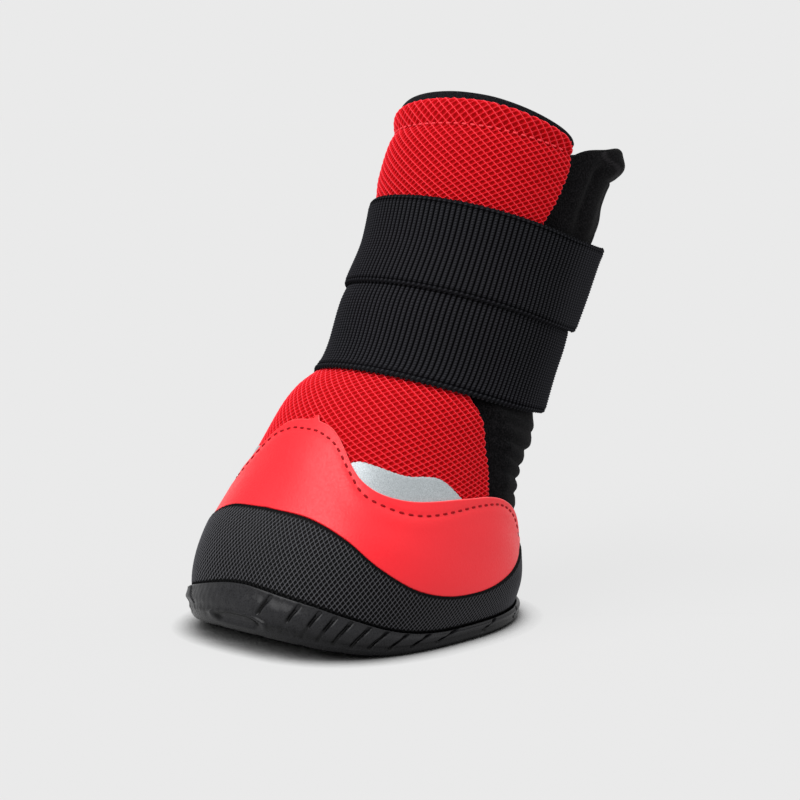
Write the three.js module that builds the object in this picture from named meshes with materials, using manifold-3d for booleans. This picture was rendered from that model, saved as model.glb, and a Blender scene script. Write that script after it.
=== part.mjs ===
// Dog boot: rubber cup sole, mesh sock upper, rear gusset, rand, toe overlay and an elastic strap wound twice.
// Millimetres. The toe points to -Y, the boot's left side is +X, +Z is up and the floor is z = 0.
import * as THREE from 'three';
import { mergeVertices } from 'three/addons/utils/BufferGeometryUtils.js';
import Module from 'manifold-3d';

const wasm = await Module();
wasm.setup();

// Driving sizes
const SEAT = 0.3;
const CLEAR = 0.4;
const UPPER_WALL = 1.8;
const GUSSET_WALL = 1.3;
const RAND_WALL = 1.1;
const OVERLAY_WALL = 0.8;
const STRIP_WALL = 0.45;
const STRAP_WALL = 1.2;
const INSOLE_WALL = 2.0;
const SOLE_WALL = 3.5;
const CUP_WALL = 1.3;
const THROAT_BOTTOM = 17;
const LAST_LIFT = 0.8;

// A table holds named columns; the first column is the one it is read by
function table(columns, rows) {
  return { columns, rows };
}

// Smooth curve through the rows of a table at x, as an object of its columns
function read(source, x) {
  const { columns, rows } = source;
  const last = rows.length - 1;
  const at = Math.min(Math.max(x, rows[0][0]), rows[last][0]);
  let i = 0;
  while (i < last - 1 && at > rows[i + 1][0]) i += 1;
  const width = rows[i + 1][0] - rows[i][0];
  const s = (at - rows[i][0]) / width;
  const slope = (k, c) => {
    const a = rows[Math.max(k - 1, 0)];
    const b = rows[Math.min(k + 1, last)];
    return (b[c] - a[c]) / (b[0] - a[0]);
  };
  const result = {};
  columns.forEach((name, c) => {
    const low = rows[i][c] * (1 + 2 * s) * (1 - s) ** 2 + slope(i, c) * width * s * (1 - s) ** 2;
    const high = rows[i + 1][c] * s * s * (3 - 2 * s) + slope(i + 1, c) * width * s * s * (s - 1);
    result[name] = low + high;
  });
  return result;
}

// 0 before a, 1 after b, smooth between
function rise(x, a, b) {
  return THREE.MathUtils.smoothstep(x, a, b);
}

// The last, one row for each section. level is the height of the section's middle over the last's own floor,
// back how far it stands behind the origin, lean its tilt in degrees, then half width, reach to front and
// rear, and squareness. The shaft is pinched where the strap winds round it, from level 57 to 101.
const LAST = table(['level', 'back', 'lean', 'half', 'front', 'rear', 'square'], [
  [2, -1.5, 0, 34.2, 42.9, 38.4, 2.5],
  [11, -1.7, 2, 37.5, 44.8, 40.5, 2.4],
  [21, -0.3, 6, 37.2, 42.1, 40.1, 2.3],
  [33, 5.8, 10, 34.8, 37.7, 35.3, 2.2],
  [45, 12.5, 14, 31.8, 34.8, 31.8, 2.15],
  [53, 20.0, 16, 30.2, 33.2, 30.8, 2.15],
  [60, 25.9, 17, 27.9, 29.7, 28.8, 2.1],
  [75, 34.0, 18, 27.9, 30.2, 28.8, 2.1],
  [81, 37.2, 18.3, 27.5, 29.5, 28.6, 2.1],
  [92, 43.2, 19, 28.2, 30.8, 28.8, 2.1],
  [101, 47.2, 20, 28.9, 31.9, 29.2, 2.1],
  [107, 49.7, 21, 30.0, 33.1, 30.0, 2.1],
  [116, 52.7, 25, 30.1, 33.2, 30.1, 2.1],
  [124, 55.8, 30, 29.7, 32.3, 30.2, 2.1],
  [142, 63.0, 30, 29.5, 32.0, 30.0, 2.1],
]);

// Point of the last's face: angle 0 is the toe's middle, 90 the left side, 180 the heel
function lastPoint(angle, level) {
  const s = read(LAST, level);
  const turn = THREE.MathUtils.degToRad(angle);
  const lean = THREE.MathUtils.degToRad(s.lean);
  const power = (value) => Math.sign(value) * Math.abs(value) ** (2 / s.square);
  const reach = Math.cos(turn) > 0 ? s.front : s.rear;
  const along = -reach * power(Math.cos(turn));
  return new THREE.Vector3(
    s.half * power(Math.sin(turn)),
    s.back + along * Math.cos(lean),
    LAST_LIFT + s.level - along * Math.sin(lean),
  );
}

// The same point moved outwards by out, square to the face
function onLast(angle, level, out) {
  const step = 0.01;
  const point = lastPoint(angle, level);
  const across = lastPoint(angle + step, level).sub(lastPoint(angle - step, level));
  const upwards = lastPoint(angle, level + step).sub(lastPoint(angle, level - step));
  if (level - step < LAST.rows[0][0]) upwards.set(0, 0, 1);
  return point.addScaledVector(across.cross(upwards).normalize(), out);
}

// Height of the sole's underside: flat in the middle, toe spring in front, a little lift behind
const SPRING = { toeStart: -20, toeEnd: -47, toeLift: 5.0, heelStart: 27, heelEnd: 41, heelLift: 1.4 };
function spring(y) {
  const toe = Math.max(0, (SPRING.toeStart - y) / (SPRING.toeStart - SPRING.toeEnd));
  const heel = Math.max(0, (y - SPRING.heelStart) / (SPRING.heelEnd - SPRING.heelStart));
  return SPRING.toeLift * toe * toe + SPRING.heelLift * heel * heel;
}

// Level at which the last's face is lift above the outsole's inside floor
function levelOver(angle, out, lift) {
  let height = SOLE_WALL + lift;
  for (let pass = 0; pass < 6; pass += 1) {
    const point = onLast(angle, height, out);
    height += SOLE_WALL + spring(point.y) + lift - point.z;
  }
  return height;
}

// Edges by angle from the toe, in degrees, as levels of the last
const COLLAR_TOP = table(['angle', 'level'], [[0, 121.8], [36, 122.6], [68, 122.9], [78, 122.3], [82, 121]]);
const RAND_TOP = table(['angle', 'level'], [
  [0, 28], [20, 27.2], [38, 24], [54, 19], [72, 14], [89, 12.2], [109, 14.5], [132, 20.5], [155, 24.5], [180, 26],
]);
const OVERLAY_TOP = table(['angle', 'level'], [
  [0, 46.5], [12, 45], [20.5, 42.8], [29, 39], [35.5, 35.7], [44, 33.5], [56, 32.7], [70, 33.2],
  [84, 34.6], [96, 35.4], [105, 35.1], [114, 33.3], [122, 30], [127, 26], [129, 22],
]);
const WING_END = 129;
const WING_FOOT = table(['angle', 'lift'], [[0, 0], [112, 0], [120, 0.6], [126, 2.2], [129, 4]]);
const STRIP_TOP = table(['angle', 'level'], [
  [28, 39.6], [32, 39.6], [41, 39], [52, 38.2], [62, 38.7], [69, 38.4], [75, 37], [81, 35],
]);
const CUP_TOP = table(['angle', 'height'], [
  [0, 16.6], [12, 15.6], [23, 14.2], [34, 12.4], [49, 9.2], [60, 6.7], [73, 4.8], [88, 4], [135, 4.2], [180, 5.4],
]);
const FLAP_TOP = table(['angle', 'level'], [[70, 117], [84, 121], [100, 126.5], [125, 132.5], [150, 136], [180, 137]]);

// Half the angle that the mesh spans, by level: its two edges frame the throat
const MESH_EDGE = table(['level', 'angle'], [
  [17, 97], [36, 94.5], [43, 91.5], [50, 83.5], [54, 76], [57, 67], [66, 66], [84, 70], [102, 76],
  [109, 79], [116, 81.5], [124, 81],
]);

const edgeLevel = (source, angle) => read(source, Math.abs(angle)).level;
const meshEdge = (height) => read(MESH_EDGE, height).angle;

// Closed wall over a grid: place(i, j, side) gives the inner point for side 0 and the outer one for side 1
function wall(columns, rows, place, { round = false, keep = () => true } = {}) {
  const wide = round ? columns : columns + 1;
  const index = (i, j, side) => 2 * (j * wide + (round ? i % columns : i)) + side;
  const position = [];
  for (let j = 0; j <= rows; j += 1) {
    for (let i = 0; i < wide; i += 1) {
      position.push(...place(i, j, 0).toArray(), ...place(i, j, 1).toArray());
    }
  }
  const faces = [];
  const quad = (a, b, c, d) => faces.push(a, b, c, a, c, d);
  const exists = (i, j) => {
    const column = round ? (i + columns) % columns : i;
    return column >= 0 && column < columns && j >= 0 && j < rows && keep(column, j);
  };
  for (let j = 0; j < rows; j += 1) {
    for (let i = 0; i < columns; i += 1) {
      if (!exists(i, j)) continue;
      quad(index(i, j, 1), index(i + 1, j, 1), index(i + 1, j + 1, 1), index(i, j + 1, 1));
      quad(index(i, j, 0), index(i, j + 1, 0), index(i + 1, j + 1, 0), index(i + 1, j, 0));
      const rim = (a, b) => quad(index(...b, 1), index(...a, 1), index(...a, 0), index(...b, 0));
      if (!exists(i, j - 1)) rim([i, j], [i + 1, j]);
      if (!exists(i + 1, j)) rim([i + 1, j], [i + 1, j + 1]);
      if (!exists(i, j + 1)) rim([i + 1, j + 1], [i, j + 1]);
      if (!exists(i - 1, j)) rim([i, j + 1], [i, j]);
    }
  }
  const geometry = new THREE.BufferGeometry();
  geometry.setAttribute('position', new THREE.Float32BufferAttribute(position, 3));
  geometry.setIndex(faces);
  return geometry;
}

// Closed body from rings that run from its lower middle point, round its edge, to its upper middle point
function ringBody(rings, bottom, top) {
  const columns = rings[0].length;
  const position = [bottom, ...rings.flat(), top].flatMap((point) => point.toArray());
  const index = (i, j) => 1 + j * columns + (i % columns);
  const peak = rings.length * columns + 1;
  const faces = [];
  for (let i = 0; i < columns; i += 1) {
    faces.push(0, index(i + 1, 0), index(i, 0));
    faces.push(peak, index(i, rings.length - 1), index(i + 1, rings.length - 1));
    for (let j = 0; j < rings.length - 1; j += 1) {
      faces.push(index(i, j), index(i + 1, j), index(i + 1, j + 1));
      faces.push(index(i, j), index(i + 1, j + 1), index(i, j + 1));
    }
  }
  const geometry = new THREE.BufferGeometry();
  geometry.setAttribute('position', new THREE.Float32BufferAttribute(position, 3));
  geometry.setIndex(faces);
  return geometry;
}

function solid(geometry) {
  const bare = geometry.clone();
  bare.deleteAttribute('normal');
  bare.deleteAttribute('uv');
  const merged = mergeVertices(bare, 1e-4);
  const mesh = new wasm.Mesh({
    numProp: 3,
    vertProperties: new Float32Array(merged.attributes.position.array),
    triVerts: new Uint32Array(merged.index.array),
  });
  return new wasm.Manifold(mesh);
}

function geometryOf(body) {
  const mesh = body.getMesh();
  const geometry = new THREE.BufferGeometry();
  geometry.setAttribute('position', new THREE.Float32BufferAttribute(mesh.vertProperties, 3));
  geometry.setIndex(Array.from(mesh.triVerts));
  return geometry;
}

// Upper: one hollow sock, open at collar, throat and underneath, with a turned hem at the collar
function upper() {
  const front = 24;
  const columns = 48;
  const footShares = [0, 0.25, 0.5, 0.75, 1];
  const shaftLevels = [22, 28, 35, 42, 49, 55, 60, 70, 81, 92, 101, 108, 112.5, 114.2, 116.5];
  const hemShares = [0.6, 1];
  const hem = table(['level', 'out'], [[108, 0], [112.5, 0], [114.2, -0.8], [116.5, 0.1], [120, 0], [122, -0.5]]);
  const throatRow = footShares.length;
  const hemRow = throatRow + shaftLevels.length;
  const rowLevel = (j, angle, foot) => {
    if (j < throatRow) return THREE.MathUtils.lerp(foot, THROAT_BOTTOM, footShares[j]);
    if (j < hemRow) return shaftLevels[j - throatRow];
    const seam = shaftLevels[shaftLevels.length - 1];
    return THREE.MathUtils.lerp(seam, edgeLevel(COLLAR_TOP, angle), hemShares[j - hemRow]);
  };
  const place = (i, j, side) => {
    const edge = meshEdge(j < throatRow ? THROAT_BOTTOM : rowLevel(j, 0, 0));
    const angle = i <= front
      ? -edge + (2 * edge * i) / front
      : edge + ((360 - 2 * edge) * (i - front)) / (columns - front);
    const height = rowLevel(j, angle, levelOver(angle, side ? 0 : -UPPER_WALL, CLEAR));
    return onLast(angle, height, side ? read(hem, height).out : -UPPER_WALL);
  };
  const keep = (i, j) => i < front || j < throatRow - 1;
  return wall(columns, hemRow + hemShares.length - 1, place, { round: true, keep });
}

// Rear gusset: soft panel inside the throat, tucked behind the mesh edges, with a flap that rolls outwards
function rearGusset() {
  const tuck = 5;
  const columns = 20;
  const rows = 17;
  const bottom = THROAT_BOTTOM - 3;
  const hidden = -UPPER_WALL - 2 * SEAT;
  const bulge = table(['level', 'out'], [[14, 0], [34, 0], [41, 0.6], [49, 1.2], [55, 0.3], [60, -0.1], [142, -0.1]]);
  const place = (i, j, side) => {
    const along = j / rows;
    let angle = 90;
    let height = bottom;
    for (let pass = 0; pass < 3; pass += 1) {
      const start = meshEdge(height) - tuck;
      angle = start + ((360 - 2 * start) * i) / columns;
      const top = edgeLevel(FLAP_TOP, Math.min(angle, 360 - angle));
      height = THREE.MathUtils.lerp(bottom, top, along);
    }
    const inside = Math.min(angle, 360 - angle) - meshEdge(height);
    const free = rise(height, 19, 28) * rise(inside, 3, 22);
    const roll = 3.4 * rise(height, 115, 138) * rise(inside, 4, 40);
    const folded = 1.6 * rise(height, 124, 136) * rise(inside, 4, 40);
    const out = hidden + (-hidden - 0.1) * free + read(bulge, height).out * free + roll;
    return onLast(angle, height, side ? out + folded : out - GUSSET_WALL);
  };
  return wall(columns, rows, place);
}

// Rand: ribbed band from the outsole up to its wavy top edge
function rand() {
  const columns = 48;
  const rows = 5;
  const inner = CLEAR;
  const place = (i, j, side) => {
    const angle = (360 * i) / columns;
    const across = angle > 180 ? 360 - angle : angle;
    const out = side ? inner + RAND_WALL : inner;
    const foot = levelOver(angle, out, CLEAR);
    const height = THREE.MathUtils.lerp(foot, edgeLevel(RAND_TOP, across), j / rows);
    return onLast(angle, height, out);
  };
  return wall(columns, rows, place, { round: true });
}

// Toe overlay: over the vamp between the rand's edge and its own wave edge, with a round wing each side
function toeOverlay() {
  const columns = 48;
  const rows = 3;
  const place = (i, j, side) => {
    const swing = (2 * i) / columns - 1;
    const angle = WING_END * Math.sign(swing) * (1 - (1 - Math.abs(swing)) ** 1.25);
    const foot = edgeLevel(RAND_TOP, angle) + SEAT + 0.15 + read(WING_FOOT, Math.abs(angle)).lift;
    const top = Math.max(edgeLevel(OVERLAY_TOP, angle), foot + 0.6);
    const height = THREE.MathUtils.lerp(foot, top, j / rows);
    return onLast(angle, height, side ? SEAT + OVERLAY_WALL : SEAT);
  };
  return wall(columns, rows, place);
}

// Reflective strip: shows above the overlay's dip on one side, sign 1 for the left
function reflectiveStrip(sign) {
  const start = 31;
  const end = 79;
  const columns = 12;
  const place = (i, j, side) => {
    const angle = THREE.MathUtils.lerp(sign > 0 ? start : -end, sign > 0 ? end : -start, i / columns);
    const foot = edgeLevel(OVERLAY_TOP, angle) + CLEAR;
    const top = Math.max(edgeLevel(STRIP_TOP, angle), foot + 0.4);
    return onLast(angle, THREE.MathUtils.lerp(foot, top, j), side ? SEAT + STRIP_WALL : SEAT);
  };
  return wall(columns, 1, place);
}

// Strap: an elastic band that starts at the heel side, winds twice and climbs once behind the shaft.
// One row for each place along the winding: turn in degrees, levels of both edges, offsets of both edges.
const STRAP = table(['turn', 'low', 'high', 'outLow', 'outHigh'], [
  [-176, 60.5, 82.5, 0.6, 0.6],
  [-150, 59.5, 81.5, 0.6, 0.6],
  [-90, 57, 80.5, 0.6, 0.6],
  [0, 57.5, 81, 0.6, 0.6],
  [90, 56.5, 80.5, 0.6, 0.6],
  [132, 58.5, 81.5, 0.6, 0.65],
  [158, 61, 83.5, 1.3, 1.5],
  [180, 66, 88.5, 2.2, 2.1],
  [215, 75, 97.5, 2.2, 1.5],
  [245, 79.5, 101.2, 2.2, 0.6],
  [270, 79, 100.6, 2.2, 0.6],
  [360, 78.6, 100.6, 2.15, 0.6],
  [450, 78.6, 100.8, 2.15, 0.6],
  [480, 79.6, 102, 2.3, 1.2],
  [500, 80.6, 103.2, 3.0, 2.4],
]);
function strap() {
  const start = STRAP.rows[0][0];
  const end = STRAP.rows[STRAP.rows.length - 1][0];
  const columns = 80;
  const rows = [0, 0.12, 0.3, 0.6, 1];
  const place = (i, j, side) => {
    const turn = THREE.MathUtils.lerp(start, end, i / columns);
    const row = read(STRAP, turn);
    const out = THREE.MathUtils.lerp(row.outLow, row.outHigh, rise(rows[j], 0.05, 0.6));
    const height = THREE.MathUtils.lerp(row.low, row.high, rows[j]);
    return onLast(turn, height, side ? out + STRAP_WALL : out);
  };
  return wall(columns, rows.length - 1, place);
}

// Rings from the middle of the foot to its edge, as shares of the way
const FLOOR_STEPS = [0.4, 0.7, 0.88, 1];

// Insole: flat liner on the outsole's inside floor
function insole() {
  const columns = 36;
  const out = -UPPER_WALL - SEAT - 0.2;
  const centre = new THREE.Vector3(0, -2, 0);
  const ring = (scale, lift) => Array.from({ length: columns }, (_, i) => {
    const angle = (360 * i) / columns;
    const point = onLast(angle, levelOver(angle, out, lift), out);
    point.lerp(centre, 1 - scale);
    point.z = SOLE_WALL + spring(point.y) + lift;
    return point;
  });
  const low = CLEAR;
  const high = SEAT + INSOLE_WALL;
  const rings = [
    ...FLOOR_STEPS.map((scale) => ring(scale * 0.97, low)),
    ring(1, low + 0.6),
    ring(1, high),
    ...FLOOR_STEPS.slice(0, -1).reverse().map((scale) => ring(scale, high)),
  ];
  const middle = (lift) => new THREE.Vector3(centre.x, centre.y, SOLE_WALL + lift);
  return ringBody(rings, middle(low), middle(high));
}

// Outsole: cup with a high toe wall, a low lip elsewhere and a rounded lower edge
const TREAD = { depth: 1.1, width: 1.8, pitch: 9.2, slant: 24 };
const SIDE_GROOVE = { width: 0.9, depth: 0.8, slant: 28 };
function outsoleBody() {
  const columns = 56;
  const inner = CLEAR + RAND_WALL + CLEAR;
  const outer = inner + CUP_WALL;
  const centre = new THREE.Vector3(0, -1, 0);
  const angles = Array.from({ length: columns }, (_, i) => (360 * i) / columns);
  const cupTop = (angle) => read(CUP_TOP, angle > 180 ? 360 - angle : angle).height;
  const floorRing = (scale, inset, lift) => angles.map((angle) => {
    const point = onLast(angle, levelOver(angle, 0, 1), outer - inset);
    point.lerp(centre, 1 - scale);
    point.z = spring(point.y) + lift;
    return point;
  });
  const wallRing = (out, height) => angles.map((angle) => {
    let at = 6;
    for (let pass = 0; pass < 8; pass += 1) {
      const point = onLast(angle, at, out);
      at += height(angle, point) - point.z;
    }
    return onLast(angle, at, out);
  });
  const base = (angle, point) => spring(point.y) + 2.3;
  const top = (angle, point) => Math.max(cupTop(angle), SOLE_WALL + spring(point.y) + 0.5);
  const middle = (angle, point) => (base(angle, point) + top(angle, point)) / 2;
  const rings = [
    ...FLOOR_STEPS.map((scale) => floorRing(scale, 2.4, 0)),
    floorRing(1, 0.7, 0.9),
    wallRing(outer, base),
    wallRing(outer, middle),
    wallRing(outer - 0.25, top),
    wallRing(inner, top),
    ...[...FLOOR_STEPS].reverse().map((scale) => floorRing(scale, CUP_WALL, SOLE_WALL)),
  ];
  return ringBody(rings, new THREE.Vector3(0, -1, 0), new THREE.Vector3(0, -1, SOLE_WALL));
}

// A long cutter block, turned about Z and laid along the sole
function cutter(size, place, turn, tip = 0) {
  const block = new THREE.BoxGeometry(...size);
  block.rotateX(THREE.MathUtils.degToRad(tip));
  block.rotateZ(THREE.MathUtils.degToRad(turn));
  block.translate(...place);
  return solid(block);
}

function outsole() {
  let body = solid(outsoleBody());
  const cuts = [];
  // Tread grooves slant from the middle to both sides and leave a plain bar along the middle
  for (const side of [-1, 1]) {
    for (let k = -4; k <= 4; k += 1) {
      const y = (k + 0.5) * TREAD.pitch - 3;
      const height = spring(y) + TREAD.depth / 2 - 5;
      cuts.push(cutter([40, TREAD.width, TREAD.depth + 10], [side * 26, y - 6, height], -side * TREAD.slant));
    }
  }
  // Slanted grooves in the side of the cup
  for (const side of [-1, 1]) {
    for (const angle of [14, 27, 37, 47, 57, 67, 78, 100, 122, 145, 165]) {
      const outer = CLEAR + RAND_WALL + CLEAR + CUP_WALL;
      const point = onLast(side * angle, levelOver(side * angle, 0, 1), outer);
      const high = read(CUP_TOP, angle).height - spring(point.y);
      const facing = THREE.MathUtils.radToDeg(Math.atan2(point.x, -point.y));
      const block = new THREE.BoxGeometry(SIDE_GROOVE.width, SIDE_GROOVE.depth * 2, high * 0.62);
      block.rotateY(THREE.MathUtils.degToRad(-side * SIDE_GROOVE.slant));
      block.rotateZ(THREE.MathUtils.degToRad(facing));
      block.translate(point.x, point.y, spring(point.y) + high * 0.5);
      cuts.push(solid(block));
    }
  }
  for (const cut of cuts) body = body.subtract(cut);
  return geometryOf(body);
}

// Finish of each piece
function finish(colour, roughness) {
  return new THREE.MeshStandardMaterial({ color: colour, roughness, metalness: 0 });
}

const boot = new THREE.Group();
function add(name, geometry, material) {
  geometry.computeVertexNormals();
  const mesh = new THREE.Mesh(geometry, material);
  mesh.name = name;
  boot.add(mesh);
}

add('outsole', outsole(), finish(0x232325, 0.55));
add('insole', insole(), finish(0x2a2a2c, 0.95));
add('upper', upper(), finish(0xd8202c, 0.85));
add('rear_gusset', rearGusset(), finish(0x1b1b1d, 0.9));
add('rand', rand(), finish(0x2b2b2d, 0.7));
add('toe_overlay', toeOverlay(), finish(0xf03844, 0.45));
add('reflective_strip_left', reflectiveStrip(1), finish(0xc4cdd0, 0.35));
add('reflective_strip_right', reflectiveStrip(-1), finish(0xc4cdd0, 0.35));
add('strap', strap(), finish(0x222224, 0.9));

export default boot;
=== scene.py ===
import math

import bpy
import numpy as np
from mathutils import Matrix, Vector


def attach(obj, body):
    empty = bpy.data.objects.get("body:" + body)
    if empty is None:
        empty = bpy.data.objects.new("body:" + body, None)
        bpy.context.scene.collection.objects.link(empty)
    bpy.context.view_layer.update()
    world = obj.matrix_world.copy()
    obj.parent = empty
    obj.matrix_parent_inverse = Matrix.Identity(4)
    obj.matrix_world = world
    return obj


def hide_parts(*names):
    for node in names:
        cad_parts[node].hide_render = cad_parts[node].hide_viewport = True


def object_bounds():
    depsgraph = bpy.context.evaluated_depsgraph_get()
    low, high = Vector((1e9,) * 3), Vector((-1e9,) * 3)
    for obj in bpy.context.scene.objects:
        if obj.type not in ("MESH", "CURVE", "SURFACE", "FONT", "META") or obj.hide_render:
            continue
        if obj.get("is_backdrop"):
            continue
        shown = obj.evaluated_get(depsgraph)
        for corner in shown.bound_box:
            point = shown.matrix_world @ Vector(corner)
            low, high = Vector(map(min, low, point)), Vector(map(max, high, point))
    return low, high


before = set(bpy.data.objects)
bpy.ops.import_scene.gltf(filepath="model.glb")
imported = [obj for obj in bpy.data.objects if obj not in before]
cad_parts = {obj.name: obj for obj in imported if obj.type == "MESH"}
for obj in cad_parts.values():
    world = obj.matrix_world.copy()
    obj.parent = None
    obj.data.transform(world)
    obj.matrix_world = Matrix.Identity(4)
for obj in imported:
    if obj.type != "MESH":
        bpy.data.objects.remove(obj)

cad_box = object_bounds()

# Camera: a long lens a little above the toe, turned to the boot's left side.
# Lengths in this script are millimetres, and MM turns them to Blender's metres.
MM = 0.001
VIEW_TURN = math.radians(43)
VIEW_RISE = math.radians(8)
VIEW_DISTANCE = 565
VIEW_TARGET = (-4.79, 18.13, 56.6)
LENS = 92.97
SENSOR = 36


def new_object(name, data):
    """An object in the scene"""
    made = bpy.data.objects.new(name, data)
    bpy.context.scene.collection.objects.link(made)
    return made


view_from = (
    math.sin(VIEW_TURN) * math.cos(VIEW_RISE),
    -math.cos(VIEW_TURN) * math.cos(VIEW_RISE),
    math.sin(VIEW_RISE),
)
camera = new_object("camera", bpy.data.cameras.new("camera"))
camera.data.lens = LENS
camera.data.sensor_width = SENSOR
camera.location = [(t + VIEW_DISTANCE * d) * MM for t, d in zip(VIEW_TARGET, view_from)]
camera.rotation_euler = (math.pi / 2 - VIEW_RISE, 0, VIEW_TURN)
bpy.context.scene.camera = camera


# Studio: a wide pale floor that meets a sky of the same shade, so that no horizon shows.
# The sky is darker half way up and bright overhead, and two wide soft suns stand for the softboxes.
# The floor glows, so that it keeps the sky's shade, and glows less close to the boot, as a painted contact
# shadow.
def srgb(red, green, blue):
    """Shader colour of a shade given in 0 to 255"""
    return tuple((c / 255 / 12.92) if c < 11 else ((c / 255 + 0.055) / 1.055) ** 2.4
                 for c in (red, green, blue)) + (1.0,)


def put(tree, kind, inputs=None, **settings):
    """A new node; an input may be a value or another node's socket"""
    node = tree.nodes.new(kind)
    for name, value in settings.items():
        setattr(node, name, value)
    for name, value in (inputs or {}).items():
        if isinstance(value, bpy.types.NodeSocket):
            tree.links.new(value, node.inputs[name])
        else:
            node.inputs[name].default_value = value
    return node


def reckon(tree, operation, first, second):
    """Socket of the sum, product or the like of two numbers or sockets"""
    return put(tree, "ShaderNodeMath", {0: first, 1: second}, operation=operation).outputs[0]


def plain_finish(name, colour, roughness, shine, **sockets):
    """A material with one shader; sockets are the shader's own, written with _ for a space"""
    material = bpy.data.materials.new(name)
    material.use_nodes = True
    material.node_tree.nodes.clear()
    given = {key.replace("_", " "): value for key, value in sockets.items()}
    shader = put(material.node_tree, "ShaderNodeBsdfPrincipled", {
        "Base Color": colour, "Roughness": roughness, "Specular IOR Level": shine, **given})
    put(material.node_tree, "ShaderNodeOutputMaterial", {"Surface": shader.outputs[0]})
    return material


def lead(source, material, socket):
    """Links a node's output to a socket of the material's shader"""
    tree = material.node_tree
    tree.links.new(source, tree.nodes["Principled BSDF"].inputs[socket])


def shade_by(material, source, low, high, start=0.35, end=0.65, socket="Base Color"):
    """Leads a colour from low to high as source goes from start to end"""
    tree = material.node_tree
    share = put(tree, "ShaderNodeMapRange", {"Value": source, "From Min": start, "From Max": end})
    blend = put(tree, "ShaderNodeMix", {0: share.outputs[0], 6: low, 7: high}, data_type="RGBA")
    lead(blend.outputs[2], material, socket)


STUDIO_SHADE = srgb(234, 234, 234)
FLOOR_REACH = 20000
FLOOR_GLOW = 0.92
FLOOR_SHADOW = {"reach": 7, "dark": 0.36, "clear": 0.95}
SKY = np.array([
    # height above the horizon as a sine, strength
    (0.0, 1.0),
    (0.2, 1.0),
    (0.32, 0.45),
    (0.6, 0.45),
    (0.85, 1.1),
    (1.0, 1.1),
])
SKY_SCALE = 2.0
SUNS = (
    # name, turn, height, strength, softness
    ("key_sun", -8, 48, 2.6, 50),
    ("side_sun", 132, 46, 0.65, 70),
)

world = bpy.data.worlds.new("studio")
world.use_nodes = True
background = world.node_tree.nodes["Background"]
background.inputs["Color"].default_value = STUDIO_SHADE
looking = put(world.node_tree, "ShaderNodeTexCoord").outputs["Generated"]
height_in_sky = put(world.node_tree, "ShaderNodeSeparateXYZ", {0: looking}).outputs["Z"]
sky_strength = put(world.node_tree, "ShaderNodeFloatCurve", {"Value": height_in_sky})
sky_line = sky_strength.mapping.curves[0]
while len(sky_line.points) < len(SKY):
    sky_line.points.new(0.5, 0.5)
for point, (height, strength) in zip(sky_line.points, SKY):
    point.location = (height, strength / SKY_SCALE)
    point.handle_type = "VECTOR"
sky_strength.mapping.update()
full_strength = reckon(world.node_tree, "MULTIPLY", sky_strength.outputs[0], SKY_SCALE)
world.node_tree.links.new(full_strength, background.inputs["Strength"])
bpy.context.scene.world = world
bpy.context.scene.view_settings.view_transform = "Standard"

heights = np.linspace(0, 1, 401)
light_on_floor = STUDIO_SHADE[0] * np.mean(2 * heights * np.interp(heights, SKY[:, 0], SKY[:, 1]))
for name, turn, height, strength, softness in SUNS:
    light_on_floor += strength * math.sin(math.radians(height)) / math.pi
    sun = new_object(name, bpy.data.lights.new(name, "SUN"))
    sun.data.energy = strength
    sun.data.angle = math.radians(softness)
    sun.rotation_euler = (math.radians(90 - height), 0, math.radians(turn))

floor_mesh = bpy.data.meshes.new("floor")
reach = FLOOR_REACH * MM
floor_corners = [(-reach, -reach, 0), (reach, -reach, 0), (reach, reach, 0), (-reach, reach, 0)]
floor_mesh.from_pydata(floor_corners, [], [(0, 1, 2, 3)])
floor_grey = (1 - FLOOR_GLOW) * STUDIO_SHADE[0] / light_on_floor
floor_grey = (floor_grey, floor_grey, floor_grey, 1)
floor_paint = plain_finish("floor_paint", floor_grey, 0.9, 0.0, Emission_Strength=FLOOR_GLOW)
# Painted contact shadow: the floor's glow dims where the boot is near.
contact_shadow_ao = put(floor_paint.node_tree, "ShaderNodeAmbientOcclusion", {
    "Distance": FLOOR_SHADOW["reach"] * MM}, samples=4)
shade_by(floor_paint, contact_shadow_ao.outputs["AO"], (0, 0, 0, 1), STUDIO_SHADE,
         FLOOR_SHADOW["dark"], FLOOR_SHADOW["clear"], "Emission Color")
floor_mesh.materials.append(floor_paint)
floor = new_object("floor", floor_mesh)
floor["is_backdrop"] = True


# Outsole: one black rubber moulding, a cup that the foot stands in, high at the toe and low at the sides.
# It is moulded with slanted grooves in its side and lugs below, and glued to the rand and the upper.
# Every piece lies on the same last, so the last's sections stand here, with its first user.
SECTIONS = np.array([
    # level, back, lean, half, front, rear, square
    (2, -1.5, 0, 34.2, 42.9, 38.4, 2.5),
    (11, -1.7, 2, 37.5, 44.8, 40.5, 2.4),
    (21, -0.3, 6, 37.2, 42.1, 40.1, 2.3),
    (33, 5.8, 10, 34.8, 37.7, 35.3, 2.2),
    (45, 12.5, 14, 31.8, 34.8, 31.8, 2.15),
    (53, 20.0, 16, 30.2, 33.2, 30.8, 2.15),
    (60, 25.9, 17, 27.9, 29.7, 28.8, 2.1),
    (75, 34.0, 18, 27.9, 30.2, 28.8, 2.1),
    (81, 37.2, 18.3, 27.5, 29.5, 28.6, 2.1),
    (92, 43.2, 19, 28.2, 30.8, 28.8, 2.1),
    (101, 47.2, 20, 28.9, 31.9, 29.2, 2.1),
    (107, 49.7, 21, 30.0, 33.1, 30.0, 2.1),
    (116, 52.7, 25, 30.1, 33.2, 30.1, 2.1),
    (124, 55.8, 30, 29.7, 32.3, 30.2, 2.1),
    (142, 63.0, 30, 29.5, 32.0, 30.0, 2.1),
])
LAST_LIFT = 0.8
SOLE_WALL = 3.5
TOE_SPRING = (-20, -47, 5.0)
HEEL_SPRING = (27, 41, 1.4)
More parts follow.
